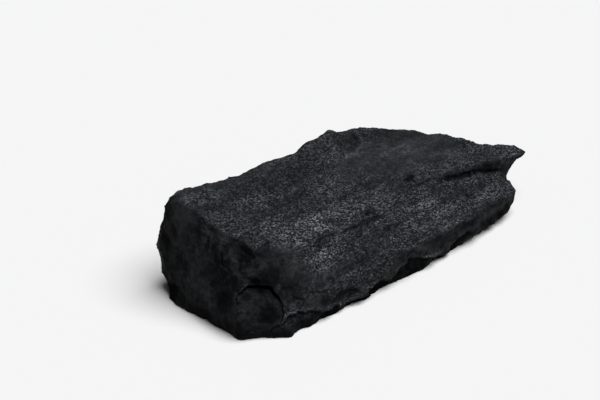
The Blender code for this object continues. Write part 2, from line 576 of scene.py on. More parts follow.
@dataclass(frozen=True)
class Scoop(Step):
    """A shell-shaped break: the surface inside a sphere is pushed back onto it.

    Attributes:
        place: the deepest place, before the cut.
        outwards: the direction that the scar faces.
        radius: the sphere's radius.
        depth: how deep it cuts at the place.
        ripple: height of the faint rings.
        plain: how much of the split grain is lost in it.
        rings: how many radians of ripple there are to a millimetre.
    """

    place: tuple[float, float, float]
    outwards: tuple[float, float, float]
    radius: float
    depth: float
    ripple: float = 0.05
    plain: float = 0.7
    rings: float = 5.0

    def carve(self, surface: Surface, noise: Noise) -> None:
        """Cut the scar, with faint rings about its deepest place.

        Args:
            surface: the surface to change.
            noise: what makes edges wander.
        """
        facing = np.array(self.outwards) / np.linalg.norm(self.outwards)
        middle = np.array(self.place) + facing * (self.radius - self.depth)
        chosen = surface.around(middle[None], self.radius + 1.5)
        near = surface.points[chosen]
        rough = 0.5 * self.depth * noise.fractal(near, 3.5, 3)
        radius = self.radius + rough
        away = near - middle
        inside = np.linalg.norm(away, axis=1) < radius
        out = -(away @ facing)
        reach = out**2 - np.einsum("ij,ij->i", away, away) + radius**2
        cut = np.where(inside, np.sqrt(np.maximum(reach, 0.0)) - out, 0.0)
        cut = np.clip(cut, 0.0, 1.6 * self.depth)
        from_place = np.linalg.norm(away + facing * radius[:, None], axis=1)
        wave = self.ripple * np.sin(self.rings * from_place)
        deep = smoothstep(0.05, 0.4, cut)
        surface.points[chosen] -= facing * (cut + wave * deep)[:, None]
        surface.refresh()
        surface.mark_more("plain", self.plain * deep, chosen)


@dataclass(frozen=True)
class Pit(Step):
    """A small round hole, with painted shade in it.

    Attributes:
        middle: where it is.
        radius: its radius.
        depth: its depth.
    """

    middle: tuple[float, float, float]
    radius: float
    depth: float

    def carve(self, surface: Surface, noise: Noise) -> None:
        """Press the hole in.

        Args:
            surface: the surface to change.
            noise: not used.
        """
        gap = np.linalg.norm(surface.points - np.array(self.middle), axis=1)
        hole = 1.0 - smoothstep(0.55, 1.1, gap / self.radius)
        surface.push(-self.depth * hole)
        # painted shade in the hole
        surface.mark_more("shade", hole)


@dataclass(frozen=True)
class FrontRoll(Step):
    """The front, where the top rolls over into the slope and, further on, breaks at a ledge.

    Attributes:
        stations: for each x, the outline from the top inwards of the crest down to the slope's
            foot, as (y, z) points.
        fade_in, fade_out: the stretches of x over which the roll begins and ends.
        pull: the distances from the outline at which its pull weakens and ends.
    """

    stations: tuple[tuple[float, tuple[tuple[float, float], ...]], ...] = (
        (12.0, ((6.5, 26.9), (4.2, 25.0), (2.4, 22.9), (-0.6, 18.6), (-2.6, 14.0), (-5.0, 8.0))),
        (30.0, ((6.0, 25.0), (3.2, 23.8), (1.2, 21.9), (-1.6, 18.4), (-4.4, 13.8), (-7.0, 8.0))),
        (45.0, ((7.5, 24.2), (4.2, 22.9), (1.6, 20.8), (-1.6, 17.7), (-4.8, 13.7), (-7.4, 8.5))),
        (60.0, ((10.5, 24.0), (7.2, 22.6), (4.0, 20.6), (-0.2, 17.4), (-4.6, 13.8), (-7.4, 9.6))),
        (75.0, ((12.0, 23.2), (9.0, 22.0), (6.6, 20.2), (3.2, 17.0), (-1.6, 13.6), (-6.2, 10.4))),
        (88.0, ((12.0, 22.2), (8.8, 21.0), (7.8, 19.7), (4.2, 16.6), (-0.5, 13.4), (-5.0, 10.8))),
        (98.0, ((11.5, 21.1), (8.2, 19.8), (7.3, 17.5), (4.0, 15.1), (0.0, 12.7), (-4.4, 10.2))),
        (108.0, ((11.0, 20.1), (7.9, 18.9), (7.1, 16.2), (4.0, 14.0), (0.5, 11.9), (-3.2, 9.7))),
        (117.0, ((10.5, 19.2), (7.3, 17.9), (6.2, 13.6), (4.2, 12.4), (1.5, 10.8), (-1.6, 9.0))),
    )
    fade_in: tuple[float, float] = (10.0, 20.0)
    fade_out: tuple[float, float] = (113.0, 119.0)
    pull: tuple[float, float] = (3.5, 5.5)

    def carve(self, surface: Surface, noise: Noise) -> None:
        """Move the surface near the outline onto it.

        Args:
            surface: the surface to change.
            noise: not used.
        """
        p = surface.points
        near = np.flatnonzero((p[:, 0] > self.fade_in[0]) & (p[:, 0] < self.fade_out[1])
                              & (p[:, 1] < 14.0) & (p[:, 2] > 6.0))
        x, here = p[near, 0], p[near, 1:]
        places = [station[0] for station in self.stations]
        outline = np.array([station[1] for station in self.stations])
        count = outline.shape[1]
        drawn = np.empty((len(near), count, 2))
        for index in np.ndindex(count, 2):
            drawn[:, index[0], index[1]] = np.interp(x, places, outline[:, index[0], index[1]])
        best = np.full(len(near), np.inf)
        target = here.copy()
        along = np.zeros(len(near))
        for step in range(count - 1):
            start, leg = drawn[:, step], drawn[:, step + 1] - drawn[:, step]
            share = np.einsum("ij,ij->i", here - start, leg) / np.einsum("ij,ij->i", leg, leg)
            share = np.clip(share, 0.0, 1.0)
            foot = start + share[:, None] * leg
            gap = np.linalg.norm(here - foot, axis=1)
            closer = gap < best
            best = np.where(closer, gap, best)
            target = np.where(closer[:, None], foot, target)
            along = np.where(closer, step + share, along)
        hold = smoothstep(*self.fade_in, x) * (1.0 - smoothstep(*self.fade_out, x))
        hold *= smoothstep(0.0, 0.9, along) * (1.0 - smoothstep(count - 2.0, count - 1.0, along))
        hold *= 1.0 - smoothstep(*self.pull, best)
        surface.points[near, 1:] += hold[:, None] * (target - here)
        surface.refresh()


@dataclass(frozen=True)
class Warp(Step):
    """A gentle bending of all the pieces alike, so that no outline stays a true arc.

    Attributes:
        sizes: the sizes of its swells.
        heights: how far each of them moves the surface.
    """

    sizes: tuple[float, ...] = (8.0, 3.5)
    heights: tuple[float, ...] = (0.8, 0.5)

    def carve(self, surface: Surface, noise: Noise) -> None:
        """Shift every point, less near the ground.

        Args:
            surface: the surface to change.
            noise: not used.
        """
        p = surface.points
        free = smoothstep(0.0, 3.0, p[:, 2])
        shift = np.zeros_like(p)
        for size, height in zip(self.sizes, self.heights):
            for axis in range(3):
                shift[:, axis] += height * Noise(Seed.WARP + axis).smooth(p, size)
        shift[:, 2] *= free
        surface.points = p + shift
        surface.refresh()


@dataclass(frozen=True)
class ShadedUndercut(Step):
    """The undercut below the rim that runs along the foot of the front, with painted shadow on it and a
    painted highlight on the rim just above.

    Attributes:
        rim: pairs of x and the rim's height.
        depth: how far the undercut is set back.
        front: only the surface with a lower y has the undercut.
        level_from: the stretch of x over which it stops being set back.
    """

    rim: tuple[tuple[float, float], ...] = (
        (6.0, 3.0), (13.0, 5.6), (16.0, 6.4), (18.0, 6.6), (20.0, 5.8), (24.0, 4.4), (29.0, 3.4),
        (35.0, 2.6), (39.0, 3.0), (42.0, 2.4), (44.0, 4.2), (48.0, 4.4), (52.0, 3.6), (54.5, 3.0),
        (57.0, 5.6), (60.0, 7.0), (64.0, 7.4), (68.0, 5.6), (73.0, 3.4), (80.0, 1.4), (84.0, 3.0),
        (87.0, 5.4), (92.0, 6.4), (100.0, 6.8), (108.0, 7.0), (114.0, 6.6), (118.0, 6.0),
    )
    depth: float = 0.9
    front: float = 6.0
    level_from: tuple[float, float] = (88.0, 94.0)

    def carve(self, surface: Surface, noise: Noise) -> None:
        """Set the undercut back, paint shadow on it and paint a highlight on the rim above it.

        Args:
            surface: the surface to change.
            noise: what makes edges wander.
        """
        p = surface.points
        places, heights = zip(*self.rim)
        below = np.interp(p[:, 0], places, heights) - p[:, 2] + 0.8 * noise.fractal(p, 2.6, 4)
        front = smoothstep(0.1, -0.35, surface.normals[:, 1]) * (p[:, 1] < self.front)
        front = front * smoothstep(3.0, 9.0, p[:, 0])
        step = smoothstep(0.0, 0.7, below) * front
        off_ground = smoothstep(0.0, 1.2, p[:, 2])
        fade = 1.0 - smoothstep(*self.level_from, p[:, 0])
        surface.points[:, 1] += self.depth * step * fade * (0.35 + 0.65 * off_ground)
        surface.refresh()
        mottled = 0.80 + 0.20 * smoothstep(-0.2, 0.3, noise.fractal(p, 5.0, 3))
        near_corner = 0.80 + 0.20 * smoothstep(18.0, 34.0, p[:, 0])
        # painted shadow on the undercut, mottled and a little weaker near the near corner
        surface.mark_more("painted_shadow", step * mottled * near_corner)
        # painted highlight on the rim just above the undercut, through the dust and bedding marks
        lip = smoothstep(-2.0, -0.6, below) * smoothstep(0.1, -0.3, below) * front
        surface.mark_more("dust_and_highlight", 0.9 * lip)
        surface.mark_more("bedding", 0.6 * lip)


@dataclass(frozen=True)
class Soften(Step):
    """A stretch, along a line, that is worn smooth.

    Attributes:
        line: where it runs.
        reach: how far from the line it ends.
        rounds: how many rounds of smoothing it has had.
    """

    line: Line
    reach: float
    rounds: int

    def carve(self, surface: Surface, noise: Noise) -> None:
        """Smooth the points near the line.

        Args:
            surface: the surface to change.
            noise: not used.
        """
        gap, _, _ = self.line.nearest(surface.points)
        share = 1.0 - smoothstep(0.4, 1.0, gap / self.reach)
        smooth = surface.blurred(surface.points, self.rounds)
        surface.points = surface.points + share[:, None] * (smooth - surface.points)
        surface.refresh()


@dataclass(frozen=True)
class Skirt(Step):
    """A ragged shift of the lowest edge, sideways.

    Attributes:
        along: the axis that the edge runs along, 0 or 1.
        before: only the surface with a coordinate lower than this across the edge moves.
        shifts: pairs of place along the edge and shift across it.
        height: the height at which the shift has died away.
        blend: how far from that coordinate the shift begins to fade.
    """

    along: int
    before: float
    shifts: tuple[tuple[float, float], ...]
    height: float
    blend: float = 4.0

    def carve(self, surface: Surface, noise: Noise) -> None:
        """Shift the edge.

        Args:
            surface: the surface to change.
            noise: not used.
        """
        p = surface.points
        across = 1 - self.along
        places, sizes = zip(*self.shifts)
        shift = np.interp(p[:, self.along], places, sizes)
        low = 1.0 - smoothstep(0.35 * self.height, self.height, p[:, 2])
        side = 1.0 - smoothstep(self.before - self.blend, self.before, p[:, across])
        surface.points[:, across] += shift * low * side
        surface.refresh()


@dataclass(frozen=True)
class Pull(Step):
    """A soft shift of what lies around a place.

    Attributes:
        place: where the shift is greatest.
        reach: how far off it has mostly died away.
        by: the shift there.
    """

    place: tuple[float, float, float]
    reach: float
    by: tuple[float, float, float]

    def carve(self, surface: Surface, noise: Noise) -> None:
        """Shift the surface, less with distance.

        Args:
            surface: the surface to change.
            noise: not used.
        """
        gap = np.linalg.norm(surface.points - np.array(self.place), axis=1) / self.reach
        surface.points = surface.points + np.exp(-(gap**2))[:, None] * np.array(self.by)
        surface.refresh()


@dataclass(frozen=True)
class Patch(Step):
    """A soft-edged patch of a painted mark.

    Attributes:
        name: the mark.
        middle: the patch's middle.
        radii: its half sizes.
        amount: the mark's value inside.
        ragged: how uneven its border is.
    """

    name: str
    middle: tuple[float, float, float]
    radii: tuple[float, float, float]
    amount: float = 1.0
    ragged: float = 0.35

    def carve(self, surface: Surface, noise: Noise) -> None:
        """Paint the patch, with a cloudy border.

        Args:
            surface: the surface to change.
            noise: what makes edges wander.
        """
        chosen = surface.around(np.array([self.middle]), 1.8 * max(self.radii))
        near = surface.points[chosen]
        away = (near - np.array(self.middle)) / np.array(self.radii)
        gap = np.linalg.norm(away, axis=1) + self.ragged * noise.fractal(near, 7.0, 4)
        share = self.amount * (1.0 - smoothstep(0.45, 1.15, gap))
        surface.mark_more(self.name, share, chosen)


@dataclass(frozen=True)
class Tuft(Step):
    """A patch of torn fibres: small hackles with painted shade in their hollows.

    Attributes:
        middle: the patch's middle.
        radii: its half sizes.
        height: the fibres' height.
    """

    middle: tuple[float, float, float]
    radii: tuple[float, float, float]
    height: float

    def carve(self, surface: Surface, noise: Noise) -> None:
        """Roughen the patch and paint shade into its hollows.

        Args:
            surface: the surface to change.
            noise: what makes edges wander.
        """
        chosen = surface.around(np.array([self.middle]), 2.5 * max(self.radii))
        near = surface.points[chosen]
        away = (near - np.array(self.middle)) / np.array(self.radii)
        patch = np.exp(-np.einsum("ij,ij->i", away, away))
        torn = noise.fractal(near * np.array([0.5, 1.0, 1.0]), 1.3, 3)
        surface.push_some(chosen, self.height * patch * (torn - 0.3))
        # painted shade in the hollows between the fibres
        surface.mark_more("shade", patch * smoothstep(0.25, -0.35, torn), chosen)


def gather_nodes(shells: bmesh.types.BMesh, names: list[str], lift: float, swell: float) -> None:
    """Add merged copies of CAD nodes, each with a second copy that closes its parting.

    Args:
        shells: what they are added to.
        names: the nodes to copy.
        lift: how far the second copy is raised, in metres.
        swell: the second copy's scale about its own middle.
    """
    for name in names:
        for rise, scale in ((0.0, 1.0), (lift, swell)):
            one = bmesh.new()
            one.from_mesh(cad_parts[name].data)
            bmesh.ops.remove_doubles(one, verts=one.verts, dist=SEAM_MM * MM)
            middle = sum((v.co for v in one.verts), Vector()) / len(one.verts)
            bmesh.ops.scale(
                one, verts=one.verts, vec=Vector((scale, scale, scale)),
                space=Matrix.Translation(-middle),
            )
            bmesh.ops.translate(one, verts=one.verts, vec=Vector((0.0, 0.0, rise)))
            spare = bpy.data.meshes.new("spare")
            one.to_mesh(spare)
            one.free()
            shells.from_mesh(spare)
            bpy.data.meshes.remove(spare)


def held(mesh: bpy.types.Mesh) -> bpy.types.Object:
    """Put a mesh in a passing object of the scene, so that a modifier can work on it.

    Args:
        mesh: the mesh.

    Returns:
        The object, which its user removes.
    """
    holder = bpy.data.objects.new("holder", mesh)
    bpy.context.scene.collection.objects.link(holder)
    return holder


def remeshed(source: bmesh.types.BMesh, quad: float, name: str) -> bpy.types.Mesh:
    """Turn overlapping closed shells into one even skin of small quads.

    Args:
        source: the shells; it is freed.
        quad: side of the new quads, in metres.
        name: the new mesh's name.

    Returns:
        The new mesh.
    """
    rough = bpy.data.meshes.new("rough")
    source.to_mesh(rough)
    source.free()
    holder = held(rough)
    remesh = holder.modifiers.new("skin", "REMESH")
    remesh.mode = "VOXEL"
    remesh.voxel_size = quad
    graph = bpy.context.evaluated_depsgraph_get()
    made = bpy.data.meshes.new_from_object(holder.evaluated_get(graph))
    made.name = name
    bpy.data.objects.remove(holder)
    bpy.data.meshes.remove(rough)
    return made


def carved(skin: bpy.types.Mesh, tool: bpy.types.Mesh, leaving: Cut) -> bpy.types.Mesh:
    """Cut a closed mesh with another.

    Args:
        skin: the mesh to cut, which is left as it is.
        tool: the closed mesh that cuts; it is removed.
        leaving: which part of it stays.

    Returns:
        The new mesh.
    """
    holder, other = held(skin), held(tool)
    cut = holder.modifiers.new("cut", "BOOLEAN")
    cut.operation = leaving.value
    cut.solver = "MANIFOLD"
    cut.object = other
    graph = bpy.context.evaluated_depsgraph_get()
    made = bpy.data.meshes.new_from_object(holder.evaluated_get(graph))
    bpy.data.objects.remove(holder)
    bpy.data.objects.remove(other)
    bpy.data.meshes.remove(tool)
    return made


def parting_plane(name: str, facing: float) -> tuple[Vector, Vector]:
    """Find the largest flat face of a node that looks up (facing 1) or down (-1).

    Args:
        name: the CAD node.
        facing: the sign of the face's vertical direction.

    Returns:
        A point on the face and its unit normal, turned upwards.
    """
    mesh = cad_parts[name].data
    mesh.calc_loop_triangles()
    normals = np.array([t.normal for t in mesh.loop_triangles])
    areas = np.array([t.area for t in mesh.loop_triangles])
    middles = np.array([t.center for t in mesh.loop_triangles])
    wanted = normals[:, 2] * facing > LEVEL_ENOUGH
    widest = normals[np.argmax(areas * wanted)]
    same = wanted & (normals @ widest > SAME_WAY)
    middle = (middles[same] * areas[same, None]).sum(axis=0) / areas[same].sum()
    return Vector(middle), Vector(widest * facing)


@dataclass
class RockFace:
    """What every broken face of the lump has: facets, grain, worn edges and hollows.

    Attributes:
        facets: height of the broken facets.
        chips: height of the small facets, as a share of that.
        hackle: height of the finest roughness.
        laminae: height of the torn layers.
        swell: height of the broad unevenness.
        nibbles: how strongly convex edges are chipped.
        edge_rounds: rounds of averaging that tell a convex edge from the rest.
        facet_size, chip_size, hackle_size, lamina_size, swell_size: their sizes.
    """

    facets: float = 0.30
    chips: float = 0.18
    hackle: float = 0.05
    laminae: float = 0.10
    swell: float = 0.35
    nibbles: float = 2.2
    edge_rounds: int = 30
    facet_size: float = 8.5
    chip_size: float = 2.6
    hackle_size: float = 3.2
    lamina_size: float = 1.7
    swell_size: float = 16.0

    def roughen(self, surface: Surface) -> None:
        """Shape the whole surface as a brittle bedded material breaks.

        Args:
            surface: the surface to shape.
        """
        wide = surface.mean_normals(8)
        bedded = smoothstep(0.62, 0.84, wide @ Surface.BEDDING_NORMAL)
        bedded = surface.blurred(bedded, 3)
        # painted shade on faces that look down
        painted_underside_shade = smoothstep(0.1, -0.25, wide[:, 2])
        ground = smoothstep(1.2, 0.2, surface.points[:, 2]) * smoothstep(-0.7, -0.95, wide[:, 2])
        broken = (1.0 - bedded) * (1.0 - ground)
        p = surface.points
        swell = Noise(Seed.SWELL).fractal(p, self.swell_size, 3)
        bent = p + 1.2 * Noise(Seed.FACET_BEND).fractal(p, 9.0, 2)[:, None]
        facet = Noise(Seed.FACETS).facets(bent, self.facet_size)
        bent = p + 0.6 * Noise(Seed.CHIP_BEND).fractal(p, 4.0, 2)[:, None]
        small = Noise(Seed.CHIPS).facets(bent, self.chip_size)
        hackle = Noise(Seed.HACKLE).fractal(p, self.hackle_size, 4)
        depth = p @ Surface.BEDDING_NORMAL + Noise(Seed.LAMINA_BEND).fractal(p, 11.0, 2)
        layers = np.stack([depth, p[:, 0] * 0.02, p[:, 1] * 0.02], axis=1)
        edges_of_beds = Noise(Seed.LAMINAE).fractal(layers, self.lamina_size, 3)
        heights = broken * (
            self.swell * swell
            + self.facets * facet
            + self.chips * self.facets * small
            + self.hackle * hackle
            + 0.5 * self.laminae * edges_of_beds
        )
        heights += bedded * self.bedding_relief(p)
        surface.push(heights * (1.0 - ground), wide)
        self.nibble(surface)
        surface.mark("bedding", bedded)
        surface.mark("painted_underside_shade", painted_underside_shade)

    def nibble(self, surface: Surface) -> None:
        """Chip the convex edges, each little cell by an amount of its own.

        Args:
            surface: the surface to chip.
        """
        proud = surface.points - surface.blurred(surface.points, self.edge_rounds)
        bulge = np.einsum("ij,ij->i", proud, surface.mean_normals(4))
        off_ground = smoothstep(0.3, 1.5, surface.points[:, 2])
        bend = Noise(Seed.EDGE_BEND).fractal(surface.points, 3.0, 2)
        bent = surface.points + 0.8 * bend[:, None]
        wide = 0.5 + Noise(Seed.WIDE_NIBBLES).facets(bent, 4.2)
        small = 0.4 + Noise(Seed.SMALL_NIBBLES).facets(bent, 1.9)
        bite = self.nibbles * (np.clip(wide, 0.0, 1.2) + 0.5 * np.clip(small, 0.0, 1.0))
        surface.push(-np.clip(bulge - 0.06, 0.0, 0.6) * bite * off_ground)

    def bedding_relief(self, p: np.ndarray) -> np.ndarray:
        """Find the thin torn layers that a split bedding face shows.

        Args:
            p: positions, one row each.

        Returns:
            The height at each of them.
        """
        along = p[:, 0] * 0.77 - p[:, 1] * 0.64
        across = p[:, 0] * 0.64 + p[:, 1] * 0.77
        drawn = np.stack([along * 0.35, across, p[:, 2] * 0.3], axis=1)
        level = 1.5 * Noise(Seed.TORN_LAYERS).fractal(drawn, 9.0, 4)
        torn = np.floor(level) + smoothstep(0.80, 1.0, level - np.floor(level))
        streaks = Noise(Seed.STREAKS).fractal(drawn * np.array([0.6, 1.0, 1.0]), 2.0, 3)
        grain = Noise(Seed.GRAIN).fractal(p, 1.1, 2)
        gentle = Noise(Seed.GENTLE).fractal(p, 18.0, 2)
        return self.laminae * torn + 0.06 * streaks + 0.07 * grain + 0.35 * gentle

    def finish(self, surface: Surface) -> None:
        """Mark convex edges as worn, with a painted highlight, and hollows with painted shade, from the
        final shape.

        Args:
            surface: the surface to mark.
        """
        # convex edges: wear with a painted highlight; concave hollows: painted shade
        for name, rounds, scale, sign in (("wear_and_edge_highlight", 3, 0.028, 1.0), ("hollow", 10, 0.10, -1.0)):
            proud = surface.points - surface.blurred(surface.points, rounds)
            bulge = np.einsum("ij,ij->i", proud, surface.normals)
            surface.mark_more(name, np.clip(sign * bulge / scale, 0.0, 1.0))
        for name in ("shade", "plain", "dust_and_highlight", "bare", "painted_shadow"):
            surface.mark_more(name, np.zeros(len(surface.points)))


@dataclass(frozen=True)
class SeatedSpall:
    """A chip that still sits in its hollow and shares the skin of the lump about it.

    Attributes:
        spall: which chip.
        middle: the middle of its egg-shaped form.
        radii: the form's half sizes.
        turn: how far the form is turned about each axis, in degrees.
        settled: the share that is kept of its half that points up each axis.
        lean: how far its upper half leans back, for each millimetre of height.
        gap: width of the parting round it.
        uneven: how far its form strays from an egg's, as a share.
        seam_shade: how dark the painted shade on the parting's walls is.
    """

    spall: Spall
    middle: tuple[float, float, float]
    radii: tuple[float, float, float]
    turn: tuple[float, float, float]
    settled: tuple[float, float, float] = (1.0, 1.0, 1.0)
    lean: float = 0.0
    gap: float = 0.05
    uneven: float = 0.13
    seam_shade: float = 0.9

    def egg(self, extra: float) -> bpy.types.Mesh:
        """Make the form as a closed mesh that carries painted shade.

        Args:
            extra: how much larger its half sizes are.

        Returns:
            The new mesh.
        """
        shape = bmesh.new()
        bmesh.ops.create_icosphere(shape, subdivisions=6, radius=1.0)
        round_points = np.array([v.co for v in shape.verts])
        shares = 1.0 + self.uneven * Noise(Seed.EGG).fractal(round_points, 0.8, 4)
        for vert, share in zip(shape.verts, shares):
            vert.co *= share
        size = [(radius + extra) * MM for radius in self.radii]
        spin = Euler([math.radians(angle) for angle in self.turn]).to_matrix().to_4x4()
        place = Matrix.Translation(PLAN.point(*self.middle))
        shape.transform(place @ spin @ Matrix.Diagonal((*size, 1.0)))
        made = bpy.data.meshes.new("egg")
        shape.to_mesh(made)
        shape.free()
        # painted shade on the walls of the parting
        layer = made.attributes.new("shade", "FLOAT", "POINT")
        layer.data.foreach_set("value", np.full(len(made.vertices), self.seam_shade, np.float32))
        return made

    def freed(self, skin: bpy.types.Mesh) -> tuple[bpy.types.Object, bpy.types.Mesh]:
        """Cut the chip out of the skin.

        Args:
            skin: the whole lump, which is left as it is.

        Returns:
            The chip's object, and a new skin with its hollow.
        """
        name = self.spall.value
        chip = carved(skin, self.egg(0.0), Cut.INSIDE)
        rest = carved(skin, self.egg(self.gap), Cut.OUTSIDE)
        self.settle(chip)
        mesh = bmesh.new()
        mesh.from_mesh(chip)
        bpy.data.meshes.remove(chip)
        drop_crumbs(mesh)
        smooth_shaded(mesh)
        return finished(mesh, name + "_chip", name), rest

    def settle(self, chip: bpy.types.Mesh) -> None:
        """Draw in the chip's upper and far halves and lean it back.

        Args:
            chip: the chip's mesh.
        """
        flat = np.zeros(len(chip.vertices) * 3, np.float32)
        chip.vertices.foreach_get("co", flat)
        points = PLAN.to_plan(flat.reshape(-1, 3).astype(float))
        away = points - np.array(self.middle)
        away = np.where(away > 0.0, away * np.array(self.settled), away)
        away[:, 1] += self.lean * np.clip(away[:, 2], 0.0, None)
        moved = PLAN.to_frame(away + np.array(self.middle)).astype(np.float32)
        chip.vertices.foreach_set("co", moved.ravel())
        chip.update()


